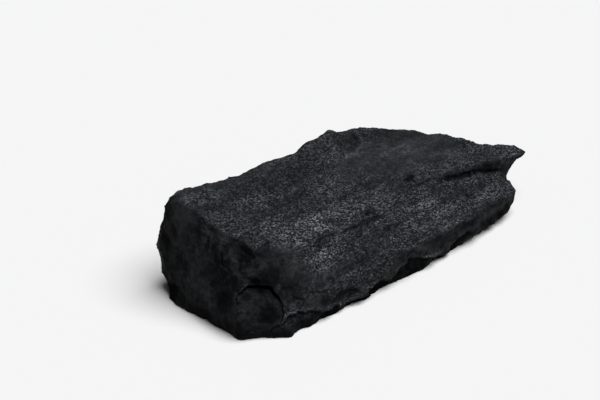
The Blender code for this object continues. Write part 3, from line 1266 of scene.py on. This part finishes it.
@dataclass
class Lump:
    """The lump, shaped as one broken surface from which its spalls and beds are then parted.

    Attributes:
        face: how its faces break.
        lift: how far the beds' second copies are raised, to close their partings.
        plug_swell: the scale of the spalls' second copies, to fill their seats.
        cap_rise: how far above the middle bed's flat top the cap is parted.
        noise: what makes the edges of its marks wander.
        spalls: the seated chips.
    """

    face: RockFace = field(default_factory=RockFace)
    lift: float = 0.35 * MM
    plug_swell: float = 1.10
    cap_rise: float = 0.8 * MM
    noise: Noise = Noise(Seed.DETAILS)
    spalls: tuple[SeatedSpall, ...] = (
        SeatedSpall(Spall.FLAKE, (6.6, -1.2, 9.6), (7.2, 5.6, 7.6), (0.0, 0.0, -28.0),
                    settled=(0.95, 1.0, 0.77), lean=0.18),
        SeatedSpall(Spall.KNOB, (16.0, -5.2, 10.6), (4.2, 4.2, 3.4), (0.0, 20.0, -10.0)),
        SeatedSpall(Spall.RIM, (55.0, -8.2, 7.4), (13.0, 4.2, 4.0), (0.0, 3.0, 2.0)),
    )

    def form(self) -> list[Step]:
        """List what shapes the lump before its surface is roughened.

        Returns:
            The steps, in their order.
        """
        return [
            FrontRoll(),
            Soften(Line(((0.5, 33, 34.5), (4, 24, 32.5), (8, 12, 28.5), (10, 6.5, 26.5))), 4.5, 40),
            Soften(Line(((3.5, 4.0, 18.0), (7.0, 0.5, 17.5), (10.0, -1.5, 17.5))), 4.0, 50),
            Pull((0.4, 34.3, 35.0), 4.0, (1.2, -1.0, -0.2)),
            Pull((-1.7, 40.2, 13.1), 9.0, (-0.1, 0.1, 0.0)),
            Pull((-2.4, 38.0, 5.0), 6.0, (0.7, -0.5, 0.0)),
            Pull((-2.4, 38.0, 0.8), 4.0, (2.4, -1.7, 0.0)),
            Pull((127.2, 6.3, 16.3), 7.0, (2.4, -0.6, 0.4)),
            Pull((117.5, -1.6, 8.2), 5.0, (0.6, -0.2, 0.3)),
            Pull((33.0, 34.5, 31.5), 8.0, (0.0, 0.4, 1.3)),
            Pull((52.0, 34.5, 33.0), 6.0, (0.0, -0.6, -0.5)),
            Pull((71.0, 36.3, 32.3), 6.0, (0.0, -0.9, -0.7)),
            Pull((94.0, 29.0, 27.7), 4.5, (0.0, -0.9, -0.7)),
            Pull((114.0, 16.0, 21.5), 7.0, (0.0, -1.3, -1.2)),
            Pull((7.6, 0.6, 16.6), 3.2, (0.0, -0.5, -2.0)),
            Skirt(0, 4.0, ((0, -0.6), (6, -1.8), (9, -3.0), (13, -3.6), (17, -2.4), (21, -2.6), (26, -1.2),
                           (31, -1.7), (37, -0.5), (48, -0.8), (57, -0.2), (64, -1.2), (72, -2.0),
                           (78, -1.2), (84, -1.0), (92, 0.2), (104, -0.6), (116, -0.9)), 6.0),
            Skirt(1, 6.0, ((-2, -0.2), (1, -0.6), (5, 0.3), (9, -0.4), (15, 0.5), (20, -0.5),
                           (26, -0.3), (31, -0.8), (35, -0.3)), 6.0),
        ]

    def details(self) -> list[Step]:
        """List the marks that this lump carries.

        Returns:
            The steps, in their order.
        """
        return [
            # the ledge and what runs from it
            Crack(Line(((98, 7.3, 17.6), (101.8, 7.3, 17.5), (106.5, 7.3, 17))), 0.45, 0.7),
            Crack(Line(((118, 6.1, 13.6), (113, 6.7, 15.2), (108.4, 7.1, 16.3), (98.9, 7.2, 17.4),
                        (89.8, 7.6, 19.3))), 0.6, 0.8),
            Crack(Line(((88.5, 8.1, 20.4), (83, 8, 21), (78.5, 8, 21.4), (74, 7.8, 21.8))), 0.5, 0.6),
            Tuft((80.6, 11.4, 22.6), (4.6, 2.0, 2.2), 1.0),
            Tuft((61.4, -0.2, 15.6), (3.0, 2.4, 2.4), 0.6),
            Tuft((53.5, 4.0, 21.4), (5.5, 1.8, 2.0), 0.8),
            Crack(Line(((28.0, 1.6, 23.3), (34.5, 1.6, 22.8), (41.0, 2.0, 22.6), (46.5, 2.6, 22.3),
                        (51.0, 3.4, 21.8))), 0.5, 0.45),
            Scarp(Line(((26, 1.6, 0), (31, 1.6, 0), (37, 1.4, 0), (43.7, 2.2, 0), (49, 2.8, 0),
                        (55, 3.6, 0), (62, 3.4, 0))), 1.0, 8.0),
            Crack(Line(((87.9, 4.9, 14.5), (91.3, 5.5, 14.3), (92.4, 4.5, 13.9))), 0.35, 0.35),
            # the flake scar on the back edge
            Scoop((70.0, 30.6, 30.2), (0.1, -0.2, 0.97), 12.0, 1.0, plain=0.1),
            Crack(Line(((62.6, 31.1, 31), (65, 27.9, 29.7), (71.7, 27, 28.8), (80.6, 24.5, 27.2))),
                  0.7, 0.25),
            # marks on the top
            Crack(Line(((64, 25.8, 29.1), (63.8, 23.5, 28.3))), 0.3, 0.2),
            Crack(Line(((73.4, 23.5, 27.5), (74.3, 22.2, 27), (73.1, 20.3, 26.4))), 0.3, 0.3),
            Crack(Line(((43, 20.4, 29), (38.8, 17.4, 28.3), (33.7, 14.7, 27.8))), 0.5, 0.25),
            Crack(Line(((43.5, 13.8, 26.6), (43.6, 11.5, 25.8), (44.4, 9.9, 25.2))), 0.3, 0.35),
            Crack(Line(((39.3, 5.6, 24.1), (39.8, 4.0, 23.5))), 0.35, 0.4),
            Ridge(Line(((25.3, 9.4, 26.6), (29.8, 7.7, 25.6), (35.6, 6, 24.5))), 0.5, 0.3),
            Ridge(Line(((52.1, -1.2, 16.4), (53, -3.4, 15.3), (54.8, -5.3, 13.3))), 0.6, 0.3),
            Crack(Line(((30.8, 0.3, 19.8), (30.5, -1.5, 18.7))), 0.3, 0.35),
            Pit((28.6, -2.9, 16.2), 0.75, 1.3),
            # the near end
            Crack(Line(((4.2, 22.2, 32.0), (2.9, 20.5, 31.6), (2.6, 19.4, 30.8), (2, 18.9, 28.8))),
                  0.35, 0.6),
            Crack(Line(((3, 17, 28.7), (1.8, 16.8, 26.7), (1, 17.4, 22.9))), 0.35, 0.4),
            Crack(Line(((3.9, 12.3, 24.2), (3.6, 12.5, 22.5), (3.3, 12.3, 19.8), (3.5, 11, 18.6),
                        (3.8, 8.1, 18.5))), 0.3, 0.4),
            Crack(Line(((-1.5, 23.7, 14.4), (-1.5, 22.7, 13.1), (-1.9, 21.8, 11.6))), 0.35, 0.3),
            Scoop((-1.4, 36.0, 24.0), (-0.9, 0.4, 0.1), 12.0, 0.9),
            Scoop((-1.9, 36.5, 12.0), (-0.9, 0.4, -0.1), 9.0, 0.7),
            Scoop((-2.8, 30.5, 4.5), (-0.9, -0.1, -0.2), 5.0, 0.9),
            # the recess under the top's front corner
            Scoop((7.6, 7.6, 24.6), (-0.75, -0.6, 0.2), 9.0, 0.8),
            Crack(Line(((21.9, 2.4, 23.1), (21.4, 1.4, 21.3), (19.5, 0, 19.9))), 0.5, 0.35),
            Ridge(Line(((18.6, 0.6, 20.6), (18.2, 0.2, 19.6), (16.7, -1, 17.7))), 0.5, 0.4),
            # round the corner flake
            Crack(Line(((4.6, 5.0, 19.6), (5.6, 3.2, 18.2), (7.0, 1.4, 16.8))), 0.8, 0.9),
            Crack(Line(((9.6, -1.8, 14.6), (11.6, -3.0, 12.9), (12.9, -3.7, 11.4),
                        (12.5, -4.2, 9.6), (12.1, -4.9, 7.6), (13.6, -6.0, 5.8))), 0.6, 1.0),
            # right of the knob
            Crack(Line(((18.1, -4.9, 10.2), (20.4, -5.8, 9), (20.9, -6.5, 7.4))), 0.35, 0.6),
            Crack(Line(((20.7, -6, 8.8), (23.3, -5.7, 10.1), (25.4, -6, 9.7), (28, -6.8, 8.3))),
                  0.35, 0.45),
            # bites out of the lower front edge
            Scoop((29.0, -8.6, 1.6), (0.1, -0.9, -0.35), 5.0, 1.0),
            Scoop((39.5, -8.4, 1.0), (0.0, -0.9, -0.4), 4.5, 1.0),
            Scoop((50.0, -8.2, 2.6), (0.0, -0.9, -0.3), 6.5, 1.6),
            Scoop((63.0, -8.0, 5.2), (0.1, -0.9, -0.2), 9.0, 1.6),
            Scoop((84.0, -6.0, 3.2), (0.1, -0.9, -0.3), 6.0, 1.0),
            # dust with a painted highlight, where the surface is bare, and painted shadow where it is dark
            Patch("dust_and_highlight", (30.0, 6.0, 25.0), (16.0, 8.0, 8.0), 0.8),
            Patch("dust_and_highlight", (52.0, 6.0, 21.0), (20.0, 8.0, 7.0), 0.8),
            Patch("dust_and_highlight", (30.0, -3.0, 16.0), (8.0, 4.0, 8.0), 0.8),
            Patch("dust_and_highlight", (75.0, 2.0, 16.0), (16.0, 8.0, 7.0), 0.7),
            Patch("dust_and_highlight", (88.0, 12.0, 22.0), (16.0, 6.0, 5.0), 0.4),
            Patch("dust_and_highlight", (102.0, 2.0, 13.0), (14.0, 6.0, 5.0), 0.4),
            Patch("bedding", (42.0, -5.0, 10.0), (22.0, 6.0, 7.0), 0.9),
            Patch("dust_and_highlight", (1.0, 26.6, 29.0), (5.0, 5.5, 6.0)),
            Patch("dust_and_highlight", (3.0, 13.0, 29.0), (4.0, 4.0, 4.0), 0.5),
            Patch("dust_and_highlight", (-0.5, 18.0, 14.0), (5.0, 6.0, 7.0), 0.4),
            Patch("plain", (13.0, 1.0, 20.5), (7.5, 8.0, 7.0)),
            Patch("plain", (7.0, -3.0, 10.0), (7.0, 6.0, 9.0)),
            Patch("plain", (18.0, -1.0, 13.0), (4.5, 4.0, 5.0), 0.6),
            Patch("bare", (18.0, 0.0, 18.0), (9.0, 8.0, 9.0), 0.5),
            Patch("bare", (86.0, 22.0, 26.0), (34.0, 13.0, 11.0), 0.6),
            Patch("bare", (20.0, 34.0, 34.0), (24.0, 8.0, 8.0), 0.5),
            Patch("painted_shadow", (-1.0, 38.0, 18.0), (7.0, 8.0, 20.0), 0.75),
            Patch("painted_shadow", (7.0, 5.6, 24.8), (4.0, 4.0, 3.4), 0.65),
            Patch("painted_shadow", (5.0, 8.0, 27.4), (3.0, 4.0, 3.0), 0.6),
            Patch("painted_shadow", (7.0, 1.4, 16.8), (2.6, 2.4, 1.4)),
            Patch("painted_shadow", (4.4, 1.6, 13.6), (2.6, 2.6, 2.0), 0.9),
            Patch("dust_and_highlight", (7.5, 3.4, 19.4), (2.6, 2.6, 1.6), 0.9),
            Patch("dust_and_highlight", (16.6, -5.7, 7.9), (2.4, 2.2, 1.8)),
            Patch("painted_shadow", (-2.0, 30.0, 4.5), (4.0, 6.0, 5.5), 0.9),
            Patch("painted_shadow", (0.0, 6.8, 10.0), (3.0, 3.4, 6.0), 0.7),
            Patch("painted_shadow", (-1.0, 10.4, 13.4), (3.0, 3.0, 4.5), 0.4),
            Patch("painted_shadow", (-1.0, 16.0, 0.0), (8.0, 30.0, 9.0), 0.65),
            Patch("painted_shadow", (10.0, -3.0, 1.5), (14.0, 5.0, 5.0), 0.6),
            Patch("painted_shadow", (7.0, -1.0, 11.0), (9.0, 7.0, 9.0), 0.5),
            Patch("painted_shadow", (13.5, 1.5, 19.5), (8.0, 7.0, 7.0), 0.4),
            Patch("plain", (97.0, -4.0, 6.5), (22.0, 4.5, 4.5)),
            Patch("painted_shadow", (97.0, -4.0, 6.0), (22.0, 4.5, 4.5), 0.4),
            ShadedUndercut(),
        ]

    def shaped(self) -> bpy.types.Mesh:
        """Shape the whole lump as one broken surface.

        Returns:
            Its mesh.
        """
        shells = bmesh.new()
        gather_nodes(shells, [bed.value for bed in Bed], self.lift, 1.0)
        gather_nodes(shells, [spall.value for spall in Spall], 0.0, self.plug_swell)
        skin = remeshed(shells, QUAD_MM * MM, "lump")
        surface = Surface(skin)
        surface.relax(4)
        for step in self.form():
            step.carve(surface, self.noise)
        self.face.roughen(surface)
        for detail in self.details():
            detail.carve(surface, self.noise)
        Warp().carve(surface, self.noise)
        self.face.finish(surface)
        surface.write()
        log.info("lump surface: %d points", len(surface.points))
        return skin

    def pieces(self) -> list[bpy.types.Object]:
        """Free the spalls from the lump and part the rest into its beds.

        Returns:
            One object for each spall and bed, each closed where it was parted.
        """
        skin = self.shaped()
        chips = []
        for spall in self.spalls:
            chip, rest = spall.freed(skin)
            bpy.data.meshes.remove(skin)
            skin = rest
            chips.append(chip)
        cap_point, cap_normal = parting_plane(Bed.MIDDLE.value, 1.0)
        base_point, base_normal = parting_plane(Bed.BASE.value, 1.0)
        cap_point = cap_point + cap_normal * self.cap_rise
        upper, lower = (cap_point, cap_normal), (base_point, base_normal)
        made = [
            self.parted(skin, Bed.CAP, above=upper, below=None),
            self.parted(skin, Bed.MIDDLE, above=lower, below=upper),
            self.parted(skin, Bed.BASE, above=None, below=lower),
        ]
        bpy.data.meshes.remove(skin)
        return made + chips

    def parted(self, skin: bpy.types.Mesh, bed: Bed, above: tuple[Vector, Vector] | None,
               below: tuple[Vector, Vector] | None) -> bpy.types.Object:
        """Cut one bed out of the skin.

        Args:
            skin: the whole lump.
            bed: which bed to keep.
            above: the plane that the bed lies above, if any.
            below: the plane that it lies below, if any.

        Returns:
            The bed's object.
        """
        mesh = bmesh.new()
        mesh.from_mesh(skin)
        for plane, side in ((above, "clear_inner"), (below, "clear_outer")):
            if plane is None:
                continue
            everything = mesh.verts[:] + mesh.edges[:] + mesh.faces[:]
            bmesh.ops.bisect_plane(
                mesh, geom=everything, dist=1e-8, plane_co=plane[0], plane_no=plane[1],
                **{side: True},
            )
            drop_crumbs(mesh)
            rim = [e for e in mesh.edges if e.is_boundary]
            bmesh.ops.holes_fill(mesh, edges=rim, sides=0)
            for edge in rim:
                edge.smooth = False
        bmesh.ops.recalc_face_normals(mesh, faces=mesh.faces)
        smooth_shaded(mesh)
        return finished(mesh, bed.value + "_rock", bed.value)


def smooth_shaded(mesh: bmesh.types.BMesh) -> None:
    """Shade every face smoothly."""
    for one in mesh.faces:
        one.smooth = True


def drop_crumbs(mesh: bmesh.types.BMesh) -> None:
    """Delete every loose island but the largest.

    Args:
        mesh: the mesh to clear.
    """
    left = set(mesh.verts)
    islands = []
    while left:
        seed = left.pop()
        island, queue = [seed], [seed]
        while queue:
            for edge in queue.pop().link_edges:
                for vert in edge.verts:
                    if vert in left:
                        left.remove(vert)
                        island.append(vert)
                        queue.append(vert)
        islands.append(island)
    islands.sort(key=len)
    crumbs = [v for island in islands[:-1] for v in island]
    if crumbs:
        bmesh.ops.delete(mesh, geom=crumbs, context="VERTS")


def finished(mesh: bmesh.types.BMesh, name: str, node: str) -> bpy.types.Object:
    """Make an object of a bmesh, riding on the lump and standing for its CAD node.

    Args:
        mesh: the shape, which is freed.
        name: the piece's name.
        node: the CAD node.

    Returns:
        The new object.
    """
    data = bpy.data.meshes.new(name)
    mesh.to_mesh(data)
    mesh.free()
    piece = bpy.data.objects.new(name, data)
    bpy.context.scene.collection.objects.link(piece)
    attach(piece, "root")
    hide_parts(node)
    return piece


@dataclass(frozen=True)
class CharcoalFinish:
    """Black charcoal: grainy with painted glints where it splits, smoother where it breaks.

    Attributes:
        name: the material's name.
        split_dark, split_grain_and_glint: the two tones of the split faces.
        broken_dark, broken_light: the two tones of the broken faces.
        worn: the tone of worn edges, which also paints a highlight on them.
        black: the tone of the painted shade in hollows, cracks and the undercut.
        gloss: how much the charcoal shines.
        relief: how deep the finest grain is, in metres.
        even_grain: the brightness that a bare face's grain is drawn towards.
    """

    name: str
    split_dark: tuple[float, float, float] = (0.0044, 0.0048, 0.0054)
    # the light split tone: grain specks that also stand for painted glints
    split_grain_and_glint: tuple[float, float, float] = (0.132, 0.140, 0.153)
    broken_dark: tuple[float, float, float] = (0.0024, 0.0026, 0.0030)
    broken_light: tuple[float, float, float] = (0.0185, 0.0198, 0.0218)
    worn: tuple[float, float, float] = (0.042, 0.045, 0.050)
    black: tuple[float, float, float] = (0.0008, 0.0009, 0.0011)
    gloss: float = 0.02
    relief: float = 0.17 * MM
    even_grain: float = 0.19

    def material(self) -> bpy.types.Material:
        """Build the node material.

        Returns:
            The new material.
        """
        made = bpy.data.materials.new(self.name)
        made.use_nodes = True
        tree = made.node_tree
        shader = tree.nodes["Principled BSDF"]
        shader.inputs["Specular IOR Level"].default_value = self.gloss
        nodes = NodeBench(tree)
        place = nodes.add("ShaderNodeTexCoord").outputs["Object"]
        drawn = nodes.mapped(place, (0.6, 1.0, 1.0), SPLIT_GRAIN_TURN)
        cells = nodes.cells(drawn, 2900.0)
        grain = nodes.noise(drawn, 2600.0, 1.0, 0.6)
        dust = nodes.noise(place, 700.0, 4.0, 0.65)
        grain_tone = nodes.ramp(grain, ((0.38, 0.20), (0.64, 1.0)))
        dust_tone = nodes.ramp(dust, ((0.36, 0.0), (0.68, 1.0)))
        bedding = nodes.attribute("bedding")

        split = self.split_tone(nodes, place, cells, grain_tone)
        broken = self.broken_tone(nodes, place, grain_tone, dust_tone)
        kept = nodes.maths("MULTIPLY_ADD", nodes.attribute("plain"), -1.0, 1.0)
        tone = nodes.mix(nodes.maths("MULTIPLY", bedding, kept), broken, split)
        # worn edges lightened: wear and a painted edge highlight
        rubbed_and_highlit = nodes.maths("MULTIPLY", nodes.attribute("wear_and_edge_highlight"), dust_tone)
        tone = nodes.mix(nodes.maths("MULTIPLY", rubbed_and_highlit, 0.20), tone, self.worn)
        # painted shade mixed towards black
        tone = nodes.mix(self.painted_shade_share(nodes), tone, self.black)
        tree.links.new(tone, shader.inputs["Base Color"])

        rough = nodes.maths("MULTIPLY_ADD", grain_tone, 0.25, 0.42)
        tree.links.new(rough, shader.inputs["Roughness"])
        height = nodes.maths("MULTIPLY_ADD", bedding, 0.7, 0.3)
        height = nodes.maths("MULTIPLY", height, nodes.maths("MULTIPLY_ADD", cells, 0.5, grain))
        height = nodes.maths("MULTIPLY_ADD", dust, 0.7, height)
        bump = nodes.add("ShaderNodeBump")
        bump.inputs["Strength"].default_value = 1.0
        bump.inputs["Distance"].default_value = self.relief
        tree.links.new(height, bump.inputs["Height"])
        tree.links.new(bump.outputs["Normal"], shader.inputs["Normal"])
        return made

    def split_tone(self, nodes: "NodeBench", place: bpy.types.NodeSocket,
                   cells: bpy.types.NodeSocket, grain: bpy.types.NodeSocket) -> bpy.types.NodeSocket:
        """Colour the split faces: grains with painted glints, in bands and streaks, quieter where bare.

        Args:
            nodes: where nodes are added.
            place: the place on the lump.
            cells: the fine grains' random values.
            grain: the grain's brightness.

        Returns:
            The colour.
        """
        coarse = nodes.ramp(nodes.cells(place, 1500.0), ((0.1, 0.70), (0.9, 1.0)))
        # sparse bright grains, partly grain and partly painted glints
        lit = nodes.maths("MULTIPLY", nodes.ramp(cells, ((0.32, 0.02), (0.98, 1.0))), coarse)
        lit = nodes.maths("MULTIPLY", lit, grain)
        missing = nodes.maths("SUBTRACT", self.even_grain, lit)
        lit = nodes.maths("MULTIPLY_ADD", missing, nodes.attribute("bare"), lit)
        bands = nodes.noise(nodes.mapped(place, (0.3, 1.0, 1.0), 34.0), 170.0, 5.0, 0.6)
        lit = nodes.maths("MULTIPLY", lit, nodes.ramp(bands, ((0.36, 0.28), (0.66, 1.15))))
        along = nodes.mapped(place, (0.25, 1.0, 1.0), SPLIT_GRAIN_TURN)
        streaks = nodes.noise(along, 420.0, 4.0, 0.6)
        lit = nodes.maths("MULTIPLY", lit, nodes.ramp(streaks, ((0.35, 0.50), (0.68, 1.0))))
        # brighter where dust lies and where a highlight is painted
        share = nodes.maths("MULTIPLY_ADD", nodes.attribute("dust_and_highlight"), 1.1, 1.0)
        return nodes.mix(nodes.maths("MULTIPLY", lit, share), self.split_dark, self.split_grain_and_glint)

    def broken_tone(self, nodes: "NodeBench", place: bpy.types.NodeSocket,
                    grain: bpy.types.NodeSocket, dust: bpy.types.NodeSocket) -> bpy.types.NodeSocket:
        """Colour the broken faces: nearly black, clouded, lighter with dust and a painted highlight where
        marked.

        Args:
            nodes: where nodes are added.
            place: the place on the lump.
            grain: the grain's brightness.
            dust: the dust's brightness.

        Returns:
            The colour.
        """
        clouds = nodes.ramp(nodes.noise(place, 110.0, 5.0, 0.6), ((0.40, 0.05), (0.62, 1.30)))
        lit = nodes.maths("MULTIPLY", nodes.maths("MULTIPLY_ADD", grain, 0.25, dust), clouds)
        # lighter with dust and a painted highlight
        lit = nodes.maths("MULTIPLY_ADD", nodes.attribute("dust_and_highlight"), 0.7, lit)
        return nodes.mix(lit, self.broken_dark, self.broken_light)

    def painted_shade_share(self, nodes: "NodeBench") -> bpy.types.NodeSocket:
        """Add up the painted shade that darkens a place: in grooves and holes, on the underside, in
        hollows and in painted shadow patches.

        Args:
            nodes: where nodes are added.

        Returns:
            The share of black.
        """
        dim = nodes.attribute("shade")
        for name, share in (("painted_underside_shade", 0.75), ("hollow", 0.40), ("painted_shadow", 1.0)):
            part = nodes.maths("MULTIPLY", nodes.attribute(name), share)
            dim = nodes.maths("MAXIMUM", dim, part)
        return dim


@dataclass(frozen=True)
class NodeBench:
    """Short calls for adding nodes to one material's tree.

    Attributes:
        tree: the material's tree.
    """

    tree: bpy.types.NodeTree

    def add(self, kind: str) -> bpy.types.Node:
        """Add one node."""
        return self.tree.nodes.new(kind)

    def feed(self, socket: bpy.types.NodeSocket, value: object) -> None:
        """Link a socket, or set its value where a number or a colour is given.

        Args:
            socket: the socket to feed.
            value: another socket, a number or a colour.
        """
        if isinstance(value, bpy.types.NodeSocket):
            self.tree.links.new(value, socket)
        elif isinstance(value, tuple):
            socket.default_value = (*value, 1.0) if len(value) == 3 else value
        else:
            socket.default_value = value

    def attribute(self, name: str) -> bpy.types.NodeSocket:
        """Read a painted value of the mesh.

        Args:
            name: the attribute's name.

        Returns:
            Its value.
        """
        made = self.add("ShaderNodeAttribute")
        made.attribute_name = name
        return made.outputs["Fac"]

    def mapped(self, place: bpy.types.NodeSocket, scale: tuple[float, float, float],
               turn: float) -> bpy.types.NodeSocket:
        """Stretch a pattern and turn it about the vertical.

        Args:
            place: the place on the lump.
            scale: the pattern's scale along each axis.
            turn: its turn, in degrees.

        Returns:
            The place in the pattern.
        """
        made = self.add("ShaderNodeMapping")
        made.inputs["Rotation"].default_value = (0.0, 0.0, math.radians(turn))
        made.inputs["Scale"].default_value = scale
        self.tree.links.new(place, made.inputs["Vector"])
        return made.outputs["Vector"]

    def noise(self, place: bpy.types.NodeSocket, scale: float, detail: float,
              roughness: float) -> bpy.types.NodeSocket:
        """Add fractal noise.

        Args:
            place: the place in the pattern.
            scale: swells to the metre.
            detail: how many finer octaves are added.
            roughness: each octave's height, as a share of the last.

        Returns:
            The noise's value.
        """
        made = self.add("ShaderNodeTexNoise")
        made.inputs["Scale"].default_value = scale
        made.inputs["Detail"].default_value = detail
        made.inputs["Roughness"].default_value = roughness
        self.tree.links.new(place, made.inputs["Vector"])
        return made.outputs["Fac"]

    def cells(self, place: bpy.types.NodeSocket, scale: float) -> bpy.types.NodeSocket:
        """Add irregular grains, each with a random value of its own.

        Args:
            place: the place in the pattern.
            scale: grains to the metre.

        Returns:
            The grain's value.
        """
        made = self.add("ShaderNodeTexVoronoi")
        made.inputs["Scale"].default_value = scale
        self.tree.links.new(place, made.inputs["Vector"])
        apart = self.add("ShaderNodeSeparateColor")
        self.tree.links.new(made.outputs["Color"], apart.inputs["Color"])
        return apart.outputs["Red"]

    def ramp(self, value: bpy.types.NodeSocket,
             stops: tuple[tuple[float, float], tuple[float, float]]) -> bpy.types.NodeSocket:
        """Map a value linearly between two stops, held at each end.

        Args:
            value: the value to map.
            stops: two pairs of a value and what it becomes.

        Returns:
            The mapped value.
        """
        made = self.add("ShaderNodeMapRange")
        made.clamp = True
        made.inputs["From Min"].default_value, made.inputs["To Min"].default_value = stops[0]
        made.inputs["From Max"].default_value, made.inputs["To Max"].default_value = stops[1]
        self.tree.links.new(value, made.inputs["Value"])
        return made.outputs["Result"]

    def maths(self, operation: str, *values: object) -> bpy.types.NodeSocket:
        """Add an arithmetic node.

        Args:
            operation: what it does, by the node's own word.
            values: the sockets or numbers that it works on.

        Returns:
            The result.
        """
        made = self.add("ShaderNodeMath")
        made.operation = operation
        for socket, value in zip(made.inputs, values):
            self.feed(socket, value)
        return made.outputs["Value"]

    def mix(self, share: object, first: object, second: object) -> bpy.types.NodeSocket:
        """Mix two colours.

        Args:
            share: the second colour's share.
            first: the first colour.
            second: the second colour.

        Returns:
            The mixed colour.
        """
        made = self.add("ShaderNodeMix")
        made.data_type = "RGBA"
        made.clamp_factor = True
        self.feed(made.inputs["Factor"], share)
        self.feed(made.inputs["A"], first)
        self.feed(made.inputs["B"], second)
        return made.outputs["Result"]


@dataclass(frozen=True)
class Studio:
    """A white floor, soft light from above and the camera.

    Attributes:
        azimuth, elevation: the camera's direction, in degrees.
        distance: how far the camera is from its aim.
        lens: its focal length, in millimetres.
        near, far: what it sees between, in metres.
        aim: the plan point that it looks at.
        floor_side: the floor's side, in metres.
        floor_tone: the floor's grey.
        lamp_azimuth, lamp_elevation: the overhead light's direction, in degrees.
        lamp_strength: its strength.
        lamp_spread: how soft it is, as the angle that it fills.
        surround: the surround's colour.
        surround_strength: its strength.
    """

    azimuth: float = -40.0
    elevation: float = 30.0
    distance: float = 520.0
    lens: float = 90.0
    near: float = 0.01
    far: float = 20.0
    aim: tuple[float, float, float] = (67.8, 52.9, 0.0)
    floor_side: float = 6.0
    floor_tone: float = 0.52
    lamp_azimuth: float = 25.0
    lamp_elevation: float = 70.0
    lamp_strength: float = 5.7
    lamp_spread: float = 50.0
    surround: tuple[float, float, float] = (0.90, 0.95, 1.0)
    surround_strength: float = 0.06

    @staticmethod
    def towards(azimuth: float, elevation: float) -> Vector:
        """Find the direction towards something that looks at the lump.

        Args:
            azimuth: its turn about the lump, in degrees.
            elevation: its height, in degrees.

        Returns:
            The unit direction.
        """
        turn, rise = math.radians(azimuth), math.radians(elevation)
        flat = math.cos(rise)
        return Vector((math.sin(turn) * flat, -math.cos(turn) * flat, math.sin(rise)))

    def camera(self) -> None:
        """Place the camera."""
        data = bpy.data.cameras.new("camera")
        data.lens = self.lens
        data.clip_start, data.clip_end = self.near, self.far
        back = self.towards(self.azimuth, self.elevation)
        made = bpy.data.objects.new("camera", data)
        made.location = PLAN.point(*self.aim) + back * self.distance * MM
        made.rotation_mode = "QUATERNION"
        made.rotation_quaternion = back.to_track_quat("Z", "Y")
        bpy.context.scene.collection.objects.link(made)
        bpy.context.scene.camera = made

    def floor(self) -> None:
        """Lay the floor."""
        mesh = bmesh.new()
        bmesh.ops.create_grid(mesh, x_segments=1, y_segments=1, size=self.floor_side / 2)
        data = bpy.data.meshes.new("floor")
        mesh.to_mesh(data)
        mesh.free()
        paper = bpy.data.materials.new("white_paper")
        paper.use_nodes = True
        shader = paper.node_tree.nodes["Principled BSDF"]
        shader.inputs["Base Color"].default_value = (*[self.floor_tone] * 3, 1.0)
        shader.inputs["Roughness"].default_value = 0.9
        shader.inputs["Specular IOR Level"].default_value = 0.0
        data.materials.append(paper)
        made = bpy.data.objects.new("floor", data)
        bpy.context.scene.collection.objects.link(made)

    def lights(self) -> None:
        """Hang one broad soft light overhead, with a pale surround."""
        data = bpy.data.lights.new("overhead", "SUN")
        data.energy = self.lamp_strength
        data.angle = math.radians(self.lamp_spread)
        made = bpy.data.objects.new("overhead", data)
        towards = self.towards(self.lamp_azimuth, self.lamp_elevation)
        made.rotation_mode = "QUATERNION"
        made.rotation_quaternion = towards.to_track_quat("Z", "Y")
        bpy.context.scene.collection.objects.link(made)
        world = bpy.data.worlds.new("surround")
        world.use_nodes = True
        shade = world.node_tree.nodes["Background"]
        shade.inputs["Color"].default_value = (*self.surround, 1.0)
        shade.inputs["Strength"].default_value = self.surround_strength
        bpy.context.scene.world = world
        bpy.context.scene.view_settings.view_transform = "Standard"

    def build(self) -> None:
        """Set the whole stage."""
        self.camera()
        self.floor()
        self.lights()


def main() -> None:
    """Build the stage, the beds and the spalls."""
    logging.basicConfig(level=logging.INFO, format="%(name)s: %(message)s")
    Studio().build()
    made = Lump().pieces()
    for piece in made:
        finish = CharcoalFinish(piece.name + "_black")
        piece.data.materials.clear()
        piece.data.materials.append(finish.material())
        log.info("%s: %d faces", piece.name, len(piece.data.polygons))


if __name__ == "__main__":
    main()
